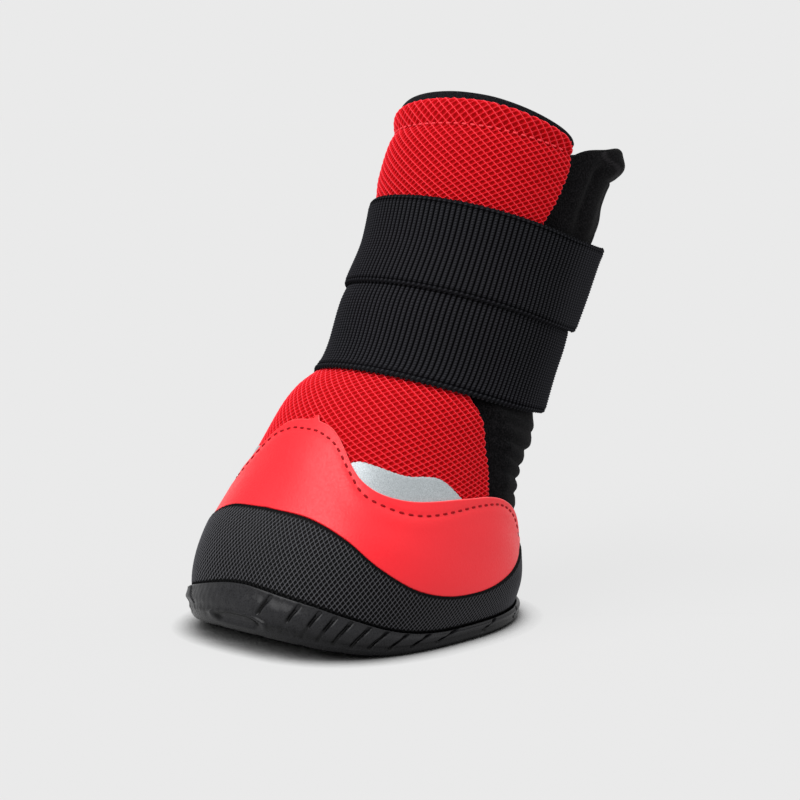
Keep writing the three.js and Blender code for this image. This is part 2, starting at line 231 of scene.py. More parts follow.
TOE_WALL = [
    # angle, height of the cup's side; a little higher on the left of the toe
    (-180, 5.4), (-135, 4.2), (-88, 4), (-73, 4.6), (-60, 6.2), (-49, 8.6), (-34, 11.9), (-21, 14.2),
    (-5, 16.9), (2, 17.6), (7, 17.4), (14.5, 16.6), (25, 15.1), (33, 13.7), (48, 10.2), (60, 7.2),
    (73, 5), (88, 4), (135, 4.2), (180, 5.4),
]


def curve(rows, x):
    """The other columns of a table at x, on a smooth curve through its rows"""
    rows = np.asarray(rows, float)
    key, value = rows[:, 0], rows[:, 1:]
    slope = np.empty_like(value)
    slope[1:-1] = (value[2:] - value[:-2]) / (key[2:] - key[:-2])[:, None]
    slope[0] = (value[1] - value[0]) / (key[1] - key[0])
    slope[-1] = (value[-1] - value[-2]) / (key[-1] - key[-2])
    x = np.clip(np.asarray(x, float), key[0], key[-1])
    i = np.clip(np.searchsorted(key, x, side="left") - 1, 0, len(key) - 2)
    width = (key[i + 1] - key[i])
    s = ((x - key[i]) / width)[..., None]
    width = width[..., None]
    found = (value[i] * (1 + 2 * s) * (1 - s) ** 2 + slope[i] * width * s * (1 - s) ** 2
             + value[i + 1] * s * s * (3 - 2 * s) + slope[i + 1] * width * s * s * (s - 1))
    return found[..., 0] if value.shape[1] == 1 else np.moveaxis(found, -1, 0)


def rise(x, low, high):
    """0 before low, 1 after high, smooth between"""
    s = np.clip((x - low) / (high - low), 0, 1)
    return s * s * (3 - 2 * s)


def hump(x, middle, half):
    """1 at the middle, falling softly to nothing on both sides"""
    return np.exp(-((x - middle) / half) ** 2)


def mix(low, high, share):
    return low + (high - low) * share


def matched(*values):
    """Arrays of numbers, all of one shape"""
    return np.broadcast_arrays(*(np.asarray(v, float) for v in values))


def last_point(angle, level):
    """Point of the last's face; angle 0 is the toe's middle, 90 the left side, 180 the heel"""
    level = np.clip(level, SECTIONS[0, 0], SECTIONS[-1, 0])
    back, lean, half, front, rear, square = curve(SECTIONS, level)
    lean = np.radians(lean)
    side, ahead = np.sin(np.radians(angle)), np.cos(np.radians(angle))
    along = -np.where(ahead > 0, front, rear) * np.sign(ahead) * np.abs(ahead) ** (2 / square)
    across = half * np.sign(side) * np.abs(side) ** (2 / square)
    return np.stack([across, back + along * np.cos(lean), LAST_LIFT + level - along * np.sin(lean)], -1)


def on_last(angle, level, out):
    """The same point, moved outwards by out"""
    angle, level, out = matched(angle, level, out)
    step = 0.01
    low, high = SECTIONS[0, 0] + step, SECTIONS[-1, 0] - step
    inner = np.clip(level, low, high)
    across = last_point(angle + step, level) - last_point(angle - step, level)
    upwards = last_point(angle, inner + step) - last_point(angle, inner - step)
    upwards[level < low] = (0, 0, 1)
    square_out = np.cross(across, upwards)
    square_out /= np.linalg.norm(square_out, axis=-1, keepdims=True)
    return last_point(angle, level) + square_out * out[..., None]


def spring(y):
    """Height of the sole's underside: flat in the middle, toe spring in front, a little lift behind"""
    toe = np.maximum(0, (TOE_SPRING[0] - y) / (TOE_SPRING[0] - TOE_SPRING[1]))
    heel = np.maximum(0, (y - HEEL_SPRING[0]) / (HEEL_SPRING[1] - HEEL_SPRING[0]))
    return TOE_SPRING[2] * toe ** 2 + HEEL_SPRING[2] * heel ** 2


def level_over(angle, out, lift):
    """Level at which the last's face is lift above the outsole's inside floor"""
    angle, out, lift = matched(angle, out, lift)
    level = SOLE_WALL + lift
    for _ in range(6):
        point = on_last(angle, level, out)
        level = level + SOLE_WALL + spring(point[..., 1]) + lift - point[..., 2]
    return level


def make_piece(name, points, faces, material, relief=None):
    """A mesh object of points in millimetres; relief is one number for each point, kept for its material"""
    mesh = bpy.data.meshes.new(name)
    mesh.from_pydata((np.asarray(points) * MM).tolist(), [], [list(map(int, f)) for f in faces])
    mesh.polygons.foreach_set("use_smooth", np.ones(len(mesh.polygons), bool))
    if relief is not None:
        kept = mesh.attributes.new("relief", "FLOAT", "POINT")
        kept.data.foreach_set("value", np.asarray(relief, np.float32))
    mesh.materials.append(material)
    return new_object(name, mesh)


def fit(piece, slot, *nodes):
    """The piece rides on the boot's one body and stands for the nodes; slot is not used"""
    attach(piece, "root")
    if nodes:
        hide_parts(*nodes)


def grain(material, size, height, detail=2.0):
    """Fine irregular bump, size and height in millimetres; gives its noise for other use"""
    tree = material.node_tree
    place = put(tree, "ShaderNodeTexCoord").outputs["Object"]
    noise = put(tree, "ShaderNodeTexNoise", {"Vector": place, "Scale": 1000 / size, "Detail": detail})
    raised = reckon(tree, "MULTIPLY", noise.outputs[0], height * MM)
    lead(put(tree, "ShaderNodeBump", {"Height": raised, "Distance": 1.0}).outputs[0], material, "Normal")
    return noise.outputs[0]


def dull_by(material, source, low, high):
    """Leads the roughness from low to high with a grain's noise"""
    share = put(material.node_tree, "ShaderNodeMapRange", {
        "Value": source, "From Min": 0.35, "From Max": 0.65, "To Min": low, "To Max": high})
    lead(share.outputs[0], material, "Roughness")


def relief_of(material):
    """Socket of the number that each point of a piece carries"""
    return put(material.node_tree, "ShaderNodeAttribute", attribute_name="relief").outputs["Fac"]


CUP_OUTER = 3.2
CUP_WALL = 1.3
CUP_FOOT = 2.3
SOLE_COLUMNS = 800
SOLE_MIDDLE = np.array((0.0, -1.0, 0.0))
SOLE_EDGE = ((1.9, 0.12), (1.4, 0.35), (1.0, 0.62), (0.7, 0.95), (0.3, 1.5))
CUP_RIM = ((0.97, 0.93), (0.985, 1.0), (0.995, 1.1), (0.995, 1.2), (0.97, 1.3), (0.8, 1.3))
TREAD = {"pitch": 9.2, "slant": -24, "pivot": 26, "shift": 9, "depth": 1.1, "bar_half": 5.5}
SIDE_GROOVES = (11.5, 23, 31, 37, 43, 50, 57, 65, 74, 84, 100, 122, 145, 165)
PLAIN_TOE = -20
GROOVE = {"slant": 7.5, "half": 1.0, "depth": 0.85}
RECESS = {"angle": 2.0, "half_angle": 9.5, "share": 0.05, "half_share": 0.17, "depth": 0.8}
FLANGE = {"angle": -30, "half": 5, "stand": 0.5}
SHOULDER = 0.9


def off_angle(angle, middle=0):
    """Angle from a middle, between -180 and 180"""
    return (angle - middle + 180) % 360 - 180


sole_angle = np.arange(SOLE_COLUMNS) * 360 / SOLE_COLUMNS
from_toe = np.abs(off_angle(sole_angle))
cup_top_height = curve(TOE_WALL, off_angle(sole_angle))


def sole_wall_ring(share, out):
    """Ring of the cup's side, share 0 at its foot and 1 at its top edge"""
    level = np.full(SOLE_COLUMNS, 6.0)
    for _ in range(8):
        point = on_last(sole_angle, level, out)
        foot = spring(point[:, 1]) + CUP_FOOT
        top = np.maximum(cup_top_height, SOLE_WALL + spring(point[:, 1]) + 0.5)
        level = level + mix(foot, top, share) - point[:, 2]
    return on_last(sole_angle, level, out)


def sole_floor_ring(share, inset, lift):
    """Ring of the sole's underside or inside floor, share of the way from its middle"""
    point = on_last(sole_angle, level_over(sole_angle, 0.0, 1.0), CUP_OUTER - inset)
    point = mix(SOLE_MIDDLE, point, share)
    point[:, 2] = spring(point[:, 1]) + lift
    return point


def tread_depth(point):
    """Slanted grooves on both sides of a plain bar along the middle"""
    x, y = np.abs(point[:, 0]), point[:, 1]
    across = y - (x - TREAD["pivot"]) * math.tan(math.radians(TREAD["slant"])) + TREAD["shift"]
    count = across / TREAD["pitch"]
    nearest = np.abs(count - np.round(count)) * TREAD["pitch"]
    return TREAD["depth"] * (1 - rise(nearest, 0.6, 1.2)) * rise(x, TREAD["bar_half"], TREAD["bar_half"] + 1)


def wall_shape(share):
    """How far the cup's side stands out or in at a share of its height, and how much painted shade darkens
    it there
    """
    cut = np.zeros(SOLE_COLUMNS)
    for sign in (-1, 1):
        for middle in SIDE_GROOVES:
            if PLAIN_TOE < sign * middle < 0:
                continue
            line = sign * (middle + GROOVE["slant"] * (share - 0.55))
            gap = np.abs(off_angle(sole_angle, line))
            cut = np.maximum(cut, 1 - rise(gap, GROOVE["half"] * 0.35, GROOVE["half"]))
    at_toe = 1 - rise(from_toe, 12, 60)
    cut = cut * (1 - rise(share, 0.88, 0.97)) * mix(1.0, rise(share, 0.28, 0.42), at_toe)
    bead = (0.22 * hump(share, 0.1, 0.09) - 0.12 * hump(share, 0.3, 0.09)) * mix(0.45, 1.0, at_toe)
    turn = off_angle(sole_angle, RECESS["angle"]) / RECESS["half_angle"]
    spread = np.hypot(turn, (share - RECESS["share"]) / RECESS["half_share"])
    oval = 0.35 * hump(spread, 1.12, 0.13) - RECESS["depth"] * (1 - rise(spread, 0.7, 0.95))
    flange = hump(off_angle(sole_angle, FLANGE["angle"]), 0, FLANGE["half"]) * rise(share, 0.3, 0.6)
    worn = 0.04 * np.sin(sole_angle * 1.7 + 5 * share) * np.sin(sole_angle * 0.61 - 7 * share) * at_toe
    shoulder = SHOULDER * rise(share, 0.5, 0.95)
    # Painted shade: darker in the grooves, in a ring round the recess and low on the side outside it; worn
    # adds a random tone.
    painted_shading = 1 - 0.8 * cut - 0.8 * hump(spread, 0.84, 0.16) + 2 * worn
    painted_shading = painted_shading - 0.45 * (1 - rise(share, 0.05, 0.4)) * rise(spread, 1.0, 1.3)
    return bead + oval - cut * GROOVE["depth"] - shoulder + FLANGE["stand"] * flange + worn, painted_shading


sole_rings = []
for share in np.linspace(0.04, 1, 32):
    ring = sole_floor_ring(share, 2.4, 0.0)
    ring[:, 2] += tread_depth(ring)
    sole_rings.append(ring)
for inset, lift in SOLE_EDGE:
    sole_rings.append(sole_floor_ring(1, inset, lift))
# The underside is set darker than the rim and the inside, which are at full.
sole_shades = [np.full(SOLE_COLUMNS, 0.7)] * len(sole_rings)
for share in np.linspace(0, 0.94, 26):
    stand_out, painted_shading = wall_shape(share)
    sole_rings.append(sole_wall_ring(share, CUP_OUTER + stand_out))
    sole_shades.append(painted_shading)
for share, inset in CUP_RIM:
    sole_rings.append(sole_wall_ring(share, CUP_OUTER - inset))
for share in (1.0, 0.9, 0.6, 0.3):
    sole_rings.append(sole_floor_ring(share, CUP_WALL, SOLE_WALL))
sole_shades += [np.full(SOLE_COLUMNS, 1.0)] * (len(sole_rings) - len(sole_shades))


def ring_faces(count, columns, start=0):
    """Faces between rings of points that follow each other"""
    return [(low + a, low + b, low + columns + b, low + columns + a)
            for low in range(start, start + (count - 1) * columns, columns)
            for a, b in zip(range(columns), [*range(1, columns), 0])]


def ring_body(rings, bottom, top):
    """Closed body from rings that run from its lower middle, round its edge, to its upper middle"""
    columns = len(rings[0])
    points = np.concatenate([[bottom], *rings, [top]])
    final = 1 + (len(rings) - 1) * columns
    faces = ring_faces(len(rings), columns, 1)
    for a in range(columns):
        b = (a + 1) % columns
        faces += [(0, 1 + b, 1 + a), (len(points) - 1, final + a, final + b)]
    return points, faces


rubber = plain_finish("moulded_rubber", srgb(30, 30, 32), 0.35, 0.18)
rubber_noise = grain(rubber, 0.45, 0.016, 4.0)
# The rubber's colour follows its grain and the painted shade that each point carries.
rubber_grain_and_shade = reckon(rubber.node_tree, "ADD", rubber_noise, relief_of(rubber))
shade_by(rubber, rubber_grain_and_shade, srgb(2, 2, 3), srgb(37, 37, 39), 0.8, 1.65)
dull_by(rubber, rubber_noise, 0.24, 0.4)
sole_body = ring_body(sole_rings, SOLE_MIDDLE, SOLE_MIDDLE + (0, 0, SOLE_WALL))
sole_shades = np.concatenate([[0.7], *sole_shades, [1.0]])
fit(make_piece("cup_outsole", *sole_body, rubber, sole_shades), "outsole_rubber", "outsole")


# Sock liner: a thin flat felt that lies loose on the sole inside the upper.
# It is cut to the foot's outline, a little smaller, with a soft edge.
UPPER_WALL = 1.8
LINER_COLUMNS = 180
LINER_LOW, LINER_HIGH = 0.4, 2.3
LINER_MIDDLE = np.array((0.0, -2.0, 0.0))
LINER_EDGE = ((0.99, 0.7), (1.0, 1.3), (0.995, 1.9), (0.98, 2.2))
liner_out = -UPPER_WALL - 0.5
liner_angle = np.arange(LINER_COLUMNS) * 360 / LINER_COLUMNS


def liner_ring(share, lift):
    """Ring of the liner at a height over the sole's inside floor"""
    point = on_last(liner_angle, level_over(liner_angle, liner_out, lift), liner_out)
    point = mix(LINER_MIDDLE, point, share)
    point[:, 2] = SOLE_WALL + spring(point[:, 1]) + lift
    return point


liner_rings = [liner_ring(share, LINER_LOW) for share in (0.2, 0.5, 0.8, 0.97)]
liner_rings += [liner_ring(share, lift) for share, lift in LINER_EDGE]
liner_rings += [liner_ring(share, LINER_HIGH) for share in (0.95, 0.8, 0.6, 0.4, 0.2)]
felt = plain_finish("black_felt", srgb(38, 38, 40), 0.95, 0.05)
shade_by(felt, grain(felt, 0.5, 0.12, 4.0), srgb(26, 26, 28), srgb(48, 48, 50))
liner_base = LINER_MIDDLE + (0, 0, SOLE_WALL)
liner_body = ring_body(liner_rings, liner_base + (0, 0, LINER_LOW), liner_base + (0, 0, LINER_HIGH))
fit(make_piece("sock_liner", *liner_body, felt), "insole_felt", "insole")


# Upper's backing: the foam of the shaft and foot, with red knit on its outer face, sewn to a sock.
# It is open at the collar, behind at the throat, and underneath. The air mesh lies on it.
MESH_EDGE = [
    (17, 97), (36, 94.5), (43, 91.5), (50, 83.5), (54, 76), (57, 67), (66, 66), (84, 70), (102, 76),
    (109, 79), (116, 81.5), (124, 81),
]
COLLAR_TOP = [
    (-90, 120.8), (-60, 120.5), (-36, 120.5), (-15, 120.8), (0, 121.2), (20, 121.9), (36, 122.5),
    (68, 122.9), (78, 122.3), (82, 121),
]
HEM_SEAM = [
    (-90, 117.4), (-60, 117.1), (-26, 116.5), (0, 116.7), (23, 117.5), (52, 118.6), (73, 119.6), (90, 120),
]
HEM_PROFILE = [(-9, 0), (-4.2, 0.1), (-1.6, -0.1), (0, -0.7), (1.3, 0.25), (3.0, 1.1), (5.0, 1.5), (8, 1.3)]
COLLAR_DRAW, PUCKER, SIDE_FULLNESS = 2.0, 0.16, 0.9
THROAT_BOTTOM = 17
PANEL_TOP = 121


def upper_shape(angle, level):
    """The hem's swell and seam, the collar drawn in on the right, and the soft creases by the left edge.
    The foot is a little full on the right below the strap."""
    hem = curve(HEM_PROFILE, level - curve(HEM_SEAM, angle))
    drawn_in = COLLAR_DRAW * rise(level, 104, 119) * hump(angle, -62, 34)
    pucker = PUCKER * np.sin(level * 1.9 + angle * 0.16) * rise(angle, 50, 68) * rise(level, 103, 108)
    full = SIDE_FULLNESS * hump(angle, -45, 28) * hump(level, 51, 6)
    return hem - drawn_in + full + pucker * (1 - rise(level, 113, 117))


def shell(outer, inner, around, rim=3):
    """Closed wall between two grids of rows by columns, with round edges at its foot and top"""
    rows, columns = outer.shape[:2]

    def rounded(start, end, beyond):
        middle, half = (start + end) / 2, (start - end) / 2
        reach = np.linalg.norm(half, axis=-1, keepdims=True)
        beyond = beyond / np.maximum(np.linalg.norm(beyond, axis=-1, keepdims=True), 1e-9)
        turns = np.linspace(0, math.pi, rim + 2)[1:-1]
        return np.stack([middle + half * math.cos(t) + beyond * reach * math.sin(t) for t in turns])

    top = rounded(outer[-1], inner[-1], outer[-1] - outer[-2])
    foot = rounded(inner[0], outer[0], outer[0] - outer[1])
    loop = np.concatenate([outer, top, inner[::-1], foot])
    length = len(loop)
    wide = columns if around else columns - 1
    row = np.arange(length)[:, None]
    column = np.arange(wide)[None, :]
    corner = lambda r, c: (r % length) * columns + c % columns
    round_face = ((0, 0), (0, 1), (1, 1), (1, 0))
    faces = np.stack([corner(row + r, column + c) for r, c in round_face], -1).reshape(-1, 4).tolist()
    if not around:
        partner = lambda r: (2 * rows + rim - 1 - r) % length
        for r in [length - 2, length - 1, *range(rows + 1)]:
            low, high = r % length, (r + 1) % length
            side = [low, high, partner(high), partner(low)]
            side = [s for k, s in enumerate(side) if s != side[k - 1]]
            faces.append([s * columns for s in reversed(side)])
            faces.append([s * columns + columns - 1 for s in side])
    return loop.reshape(-1, 3), faces


def open_wall(angle, level, outer, inner, rim=3):
    """The wall between two offsets from the last, where it doesn't run all the way round"""
    return shell(on_last(angle, level, outer), on_last(angle, level, inner), False, rim)


def joined(*parts):
    """Several points and faces as one"""
    points, faces, start = [], [], 0
    for p, f in parts:
        points.append(p)
        faces += [[v + start for v in face] for face in f]
        start += len(p)
    return np.concatenate(points), faces


def upper_wall(outer_out, inner_out, top_extra, edge_inset):
    """Foot ring and front panel of the sock, between two offsets from the last; top_extra is by angle"""
    turn = np.linspace(0, 360, 145)[:-1]
    foot_rows = np.linspace(0, 1, 8)[:, None]
    foot = [on_last(turn, mix(level_over(turn, out, 0.4), THROAT_BOTTOM - 0.4, foot_rows), out)
            for out in (outer_out, inner_out)]
    share = np.linspace(-1, 1, 97)[None, :]
    level = np.concatenate([np.linspace(THROAT_BOTTOM, 108, 60), np.linspace(109, PANEL_TOP, 24)])[:, None]
    angle = share * (curve(MESH_EDGE, level) - edge_inset)
    top = curve(COLLAR_TOP, angle) + curve(top_extra, angle)
    level = level + rise(level, 104, PANEL_TOP) * (top - PANEL_TOP)
    shape = upper_shape(angle, level)
    return joined(shell(*foot, True), open_wall(angle, level, outer_out + shape, inner_out + shape))


backing = plain_finish("red_backing_knit", srgb(190, 8, 20), 0.85, 0.05)
shade_by(backing, grain(backing, 0.6, 0.1, 3.0), srgb(165, 0, 12), srgb(205, 14, 26))
BACKING_TOP = [(-90, -0.9), (90, -0.9)]
fit(make_piece("mesh_backing", *upper_wall(-0.4, -1.0, BACKING_TOP, 0.8), backing), "red_mesh", "upper")


# Lining: black brushed knit on the inside of the sock, bound over the collar as a thin black rim.
# The rim stands a little above the red hem, most at the front.
RIM_HEIGHT = [(-90, 0.5), (-45, 1.2), (-10, 1.6), (10, 1.6), (40, 1.2), (70, 0.9), (90, 0.8)]
lining_knit = plain_finish("black_lining_knit", srgb(24, 24, 26), 0.95, 0.03, Sheen_Weight=0.03)
shade_by(lining_knit, grain(lining_knit, 0.45, 0.14, 4.0), srgb(11, 11, 13), srgb(30, 30, 33))
lining_wall = upper_wall(-1.05, -UPPER_WALL - 0.3, RIM_HEIGHT, 0.4)
fit(make_piece("collar_lining", *lining_wall, lining_knit), "black_fabric")


# Air mesh: warp-knitted red net of round diamond holes, cut flat and pulled over the foam.
# Thin bright threads run on both diagonals, with thicker red yarn between, and the holes are painted dark,
# as shade.
HOLE_PITCH = 2.55
HOLE_ROW = 0.75
THREAD_TOP, THREAD_LOW = 0.26, 0.17
THREAD_SHARE, YARN_HEIGHT = 0.86, 0.06
HOLE_RINGS = ((0.65, 0.49, 0.0), (0.55, 0.42, -0.22))
HOLE_BOTTOM = -0.28
NET_COLUMNS = 50
EDGE_ROUND = 0.85
CLOTH_WELD = 0.02


def net_cell():
    """One hole and the yarn round it, as a diamond that fits its neighbours edge to edge"""
    corners = [(HOLE_PITCH / 2, 0), (0, HOLE_ROW), (-HOLE_PITCH / 2, 0), (0, -HOLE_ROW)]
    border = []
    for k, (x0, y0) in enumerate(corners):
        x1, y1 = corners[(k + 1) % 4]
        for step in (0, 1 / 3, 2 / 3):
            height = THREAD_TOP if k % 2 == 0 or step == 0 else THREAD_LOW
            border.append((mix(x0, x1, step), mix(y0, y1, step), height))
    border = np.array(border)
    turn = np.arctan2(border[:, 1] / HOLE_ROW, border[:, 0] / (HOLE_PITCH / 2))
    rings = [border, border * (THREAD_SHARE, THREAD_SHARE, 0) + (0, 0, YARN_HEIGHT)]
    for wide, tall, depth in HOLE_RINGS:
        rings.append(np.stack([wide * np.cos(turn), tall * np.sin(turn), np.full(12, depth)], -1))
    points = np.concatenate([*rings, [(0, 0, HOLE_BOTTOM)]])
    faces = [half for a, b, c, d in ring_faces(len(rings), 12) for half in ((a, b, c), (a, c, d))]
    last = (len(rings) - 1) * 12
    faces += [(last + a, last + (a + 1) % 12, last + 12) for a in range(12)]
    return points, faces


def open_tree(name, values):
    """A tree of geometry nodes with named inputs, and the sockets that they come in by"""
    tree = bpy.data.node_groups.new(name, "GeometryNodeTree")
    for label, (kind, _) in values.items():
        tree.interface.new_socket(label, in_out="INPUT", socket_type="NodeSocket" + kind)
    tree.interface.new_socket("Result", in_out="OUTPUT", socket_type="NodeSocketGeometry")
    return tree, put(tree, "NodeGroupInput").outputs


def one_to_repeat(name, points, faces):
    """The single cell or stitch that a tree repeats"""
    one = bpy.data.meshes.new(name + "_one")
    one.from_pydata(np.asarray(points).tolist(), [], faces)
    return new_object(one.name, one)


def set_out(tree, given, values, places, weld, start):
    """An object of the tree's Shape at all places, joined where closer than weld, in one finish"""
    shape = put(tree, "GeometryNodeObjectInfo", {"Object": given["Shape"]})
    copies = put(tree, "GeometryNodeInstanceOnPoints", {"Instance": shape.outputs["Geometry"], **places})
    real = put(tree, "GeometryNodeRealizeInstances", {0: copies.outputs[0]})
    welded = put(tree, "GeometryNodeMergeByDistance", {"Geometry": real.outputs[0], "Distance": weld})
    finished = put(tree, "GeometryNodeSetMaterial", {
        "Geometry": welded.outputs[0], "Material": given["Finish"]})
    put(tree, "NodeGroupOutput", {0: finished.outputs[0]})
    piece = new_object(tree.name, start)
    modifier = piece.modifiers.new("copies", "NODES")
    modifier.node_group = tree
    for item in tree.interface.items_tree:
        if item.in_out == "INPUT" and values[item.name][1] is not None:
            modifier[item.identifier] = values[item.name][1]
    seen = bpy.context.evaluated_depsgraph_get()
    made = bpy.data.meshes.new_from_object(piece.evaluated_get(seen), depsgraph=seen)
    piece.modifiers.clear()
    piece.data = made
    bpy.data.objects.remove(values["Shape"][1])
    return piece


def lay_out(name, cell, across, along, columns, rows, shift, material):
    """Flat cloth of a cell set out in rows, each second row moved by shift; its points and triangles"""
    values = {
        "Shape": ("Object", one_to_repeat(name, *cell)), "Finish": ("Material", material),
        "Pitch across": ("Float", across), "Pitch along": ("Float", along),
        "Columns": ("Int", columns), "Rows": ("Int", rows), "Row shift": ("Float", shift),
    }
    tree, given = open_tree(name, values)
    wide = reckon(tree, "MULTIPLY", given["Pitch across"], reckon(tree, "SUBTRACT", given["Columns"], 1.0))
    tall = reckon(tree, "MULTIPLY", given["Pitch along"], reckon(tree, "SUBTRACT", given["Rows"], 1.0))
    grid = put(tree, "GeometryNodeMeshGrid", {
        "Size X": wide, "Size Y": tall, "Vertices X": given["Columns"], "Vertices Y": given["Rows"]})
    row = reckon(tree, "MODULO", put(tree, "GeometryNodeInputIndex").outputs[0], given["Rows"])
    odd = reckon(tree, "MODULO", row, 2.0)
    move = put(tree, "ShaderNodeCombineXYZ", {"X": reckon(tree, "MULTIPLY", odd, given["Row shift"])})
    placed = put(tree, "GeometryNodeSetPosition", {
        "Geometry": grid.outputs["Mesh"], "Offset": move.outputs[0]})
    flat = bpy.data.meshes.new(name)
    cloth = set_out(tree, given, values, {"Points": placed.outputs[0]}, CLOTH_WELD, flat)
    points = np.empty(len(cloth.data.vertices) * 3)
    cloth.data.vertices.foreach_get("co", points)
    corners = np.empty(len(cloth.data.loops), int)
    cloth.data.loops.foreach_get("vertex_index", corners)
    bpy.data.objects.remove(cloth)
    return points.reshape(-1, 3), corners.reshape(-1, 3)


def kept_faces(points, faces, keep):
    """Only the triangles whose three points are all kept, with the points that they use"""
    faces = faces[keep[faces].all(1)]
    used = np.unique(faces)
    place = np.zeros(len(points), int)
    place[used] = np.arange(len(used))
    return used, place[faces]


def way_along(points):
    """How far each point of a line is from its start"""
    return np.concatenate([[0], np.cumsum(np.linalg.norm(np.diff(points, axis=0), axis=1))])


def arc_of(level):
    """Tables from an angle to the way round the last at one level, and back"""
    angle = np.linspace(-180, 180, 1441)
    way = way_along(on_last(angle, level, 0.0))
    way -= np.interp(0, angle, way)
    return (lambda a: np.interp(a, angle, way)), (lambda w: np.interp(w, way, angle))


def turned_over(past, radius):
    """Where cloth lies that is past the start of a rounded edge: how far on, how far in, and its tilt"""
    tilt = np.clip(past / radius, 0, math.pi)
    beyond = np.maximum(past - math.pi * radius, 0)
    return (np.where(past > 0, radius * np.sin(tilt) - beyond, past), radius * (1 - np.cos(tilt)), tilt)


def pull_on_net(points, reference, level_start, level_scale):
    """Net points from the flat cloth to the upper, turned over its side edges and over the collar"""
    way_of, angle_of = arc_of(reference)
    x, y, z = points.T
    level = level_start + y * level_scale
    edge = way_of(curve(MESH_EDGE, np.minimum(level, 123)))
    way, side_in, side_tilt = turned_over(np.abs(x) - (edge - EDGE_ROUND), EDGE_ROUND)
    angle = angle_of(np.sign(x) * (way + edge - EDGE_ROUND))
    top = curve(COLLAR_TOP, angle)
    up, top_in, top_tilt = turned_over(level - (top - EDGE_ROUND), EDGE_ROUND)
    level_now = up + top - EDGE_ROUND
    swell = upper_shape(angle, level_now)
    relief = z * np.cos(side_tilt) * np.cos(top_tilt)
    out = swell - side_in - top_in + relief
    angle = angle + np.sign(x) * np.degrees(z * np.sin(side_tilt) / 30)
    return on_last(angle, level_now + z * np.sin(top_tilt), out), angle, level, side_tilt, top_tilt


net_knit = plain_finish("red_air_mesh", srgb(235, 30, 42), 0.72, 0.08)
grain(net_knit, 0.25, 0.03)
# Colour by the yarn's height: painted shade darkens the holes with depth, and the thread tops keep the
# threads' pale colour.
yarn_colour_and_hole_shade = put(net_knit.node_tree, "ShaderNodeValToRGB", {"Fac": relief_of(net_knit)})
yarn_and_hole_shade_stops = (
    # height of the yarn, red, green, blue; the low stops are painted shade in the holes
    (0.0, 150, 0, 2),
    (0.15, 168, 0, 4),
    (0.52, 196, 1, 14),
    (0.65, 208, 6, 22),
    (1.0, 248, 76, 88),
)
stops = yarn_colour_and_hole_shade.color_ramp.elements
for k, (place, *shade) in enumerate(yarn_and_hole_shade_stops):
    stop = stops[k] if k < 2 else stops.new(place)
    stop.position = place
    stop.color = srgb(*shade)
lead(yarn_colour_and_hole_shade.outputs[0], net_knit, "Base Color")

OVERLAY_TOP = [
    (0, 45.9), (7, 45.6), (11.8, 45.0), (14.5, 44.4), (19, 42.9), (23, 41.1), (26.5, 39.3), (29.2, 37.9),
    (33.8, 35.9), (39.2, 34.4), (44, 33.5), (51, 32.8), (58.8, 32.6), (67.2, 33.0), (77.8, 33.9),
    (85.2, 34.5), (92.8, 35.1), (103, 34.7), (114.5, 32.4), (122, 29.4), (127, 25.5), (129, 22),
]


def net_sheet(name, reference, level_start, level_end, level_scale, skew, hidden):
    """A sheet of net; skew is how far its rows climb and its columns lean, because it is pulled askew"""
    margin = 64 * abs(skew[0])
    rows = int(((level_end - level_start) / level_scale + 2 * margin) / HOLE_ROW)
    size = (HOLE_PITCH, HOLE_ROW, NET_COLUMNS, rows, HOLE_PITCH / 2)
    points, faces = lay_out(name, net_cell(), *size, net_knit)
    height_on_cloth = points[:, 1] + (rows - 1) * HOLE_ROW / 2 - margin
    points[:, 1] = height_on_cloth + skew[0] * points[:, 0]
    points[:, 0] += skew[1] * (height_on_cloth - (level_end - level_start) / level_scale / 2)
    relief = (points[:, 2] - HOLE_BOTTOM) / (THREAD_TOP - HOLE_BOTTOM)
    place, angle, level, side_tilt, top_tilt = pull_on_net(points, reference, level_start, level_scale)
    keep = (side_tilt < math.pi * 0.98) & (top_tilt < math.pi * 0.98) & ~hidden(angle, level)
    used, faces = kept_faces(points, faces, keep)
    return make_piece(name, place[used], faces, net_knit, relief[used])


vamp_net = net_sheet("vamp_air_mesh", 45, 30, 60, 0.8, (0.04, -0.04),
                     lambda angle, level: level < curve(OVERLAY_TOP, np.abs(angle)) - 2.5)
fit(vamp_net, "red_mesh")
collar_net = net_sheet("collar_air_mesh", 111, 99, 126, 0.95, (0.127, 0.244),
                       lambda angle, level: level < 98.5)
fit(collar_net, "red_mesh")


# Hem seam: one row of short red stitches that draws the turned hem in, a finger's width below the collar.
# The yarn is a shade paler than the mesh.
STITCH_SIDES = 8
STITCH_BENDS = 6
HEM_STITCH = {"pitch": 2.3, "length": 1.5, "thickness": 0.5}


def stitch_form(length, thickness):
    """One stitch along Z, thick in the middle and diving at both ends"""
    points = []
    for k in range(STITCH_BENDS + 1):
        share = k / STITCH_BENDS
        radius = thickness / 2 * max(0.0, 1 - (2 * share - 1) ** 4) ** 0.5
        for a in range(STITCH_SIDES):
            turn = 2 * math.pi * a / STITCH_SIDES
            points.append((radius * math.cos(turn), radius * math.sin(turn), length * (share - 0.5)))
    return points, ring_faces(STITCH_BENDS + 1, STITCH_SIDES)


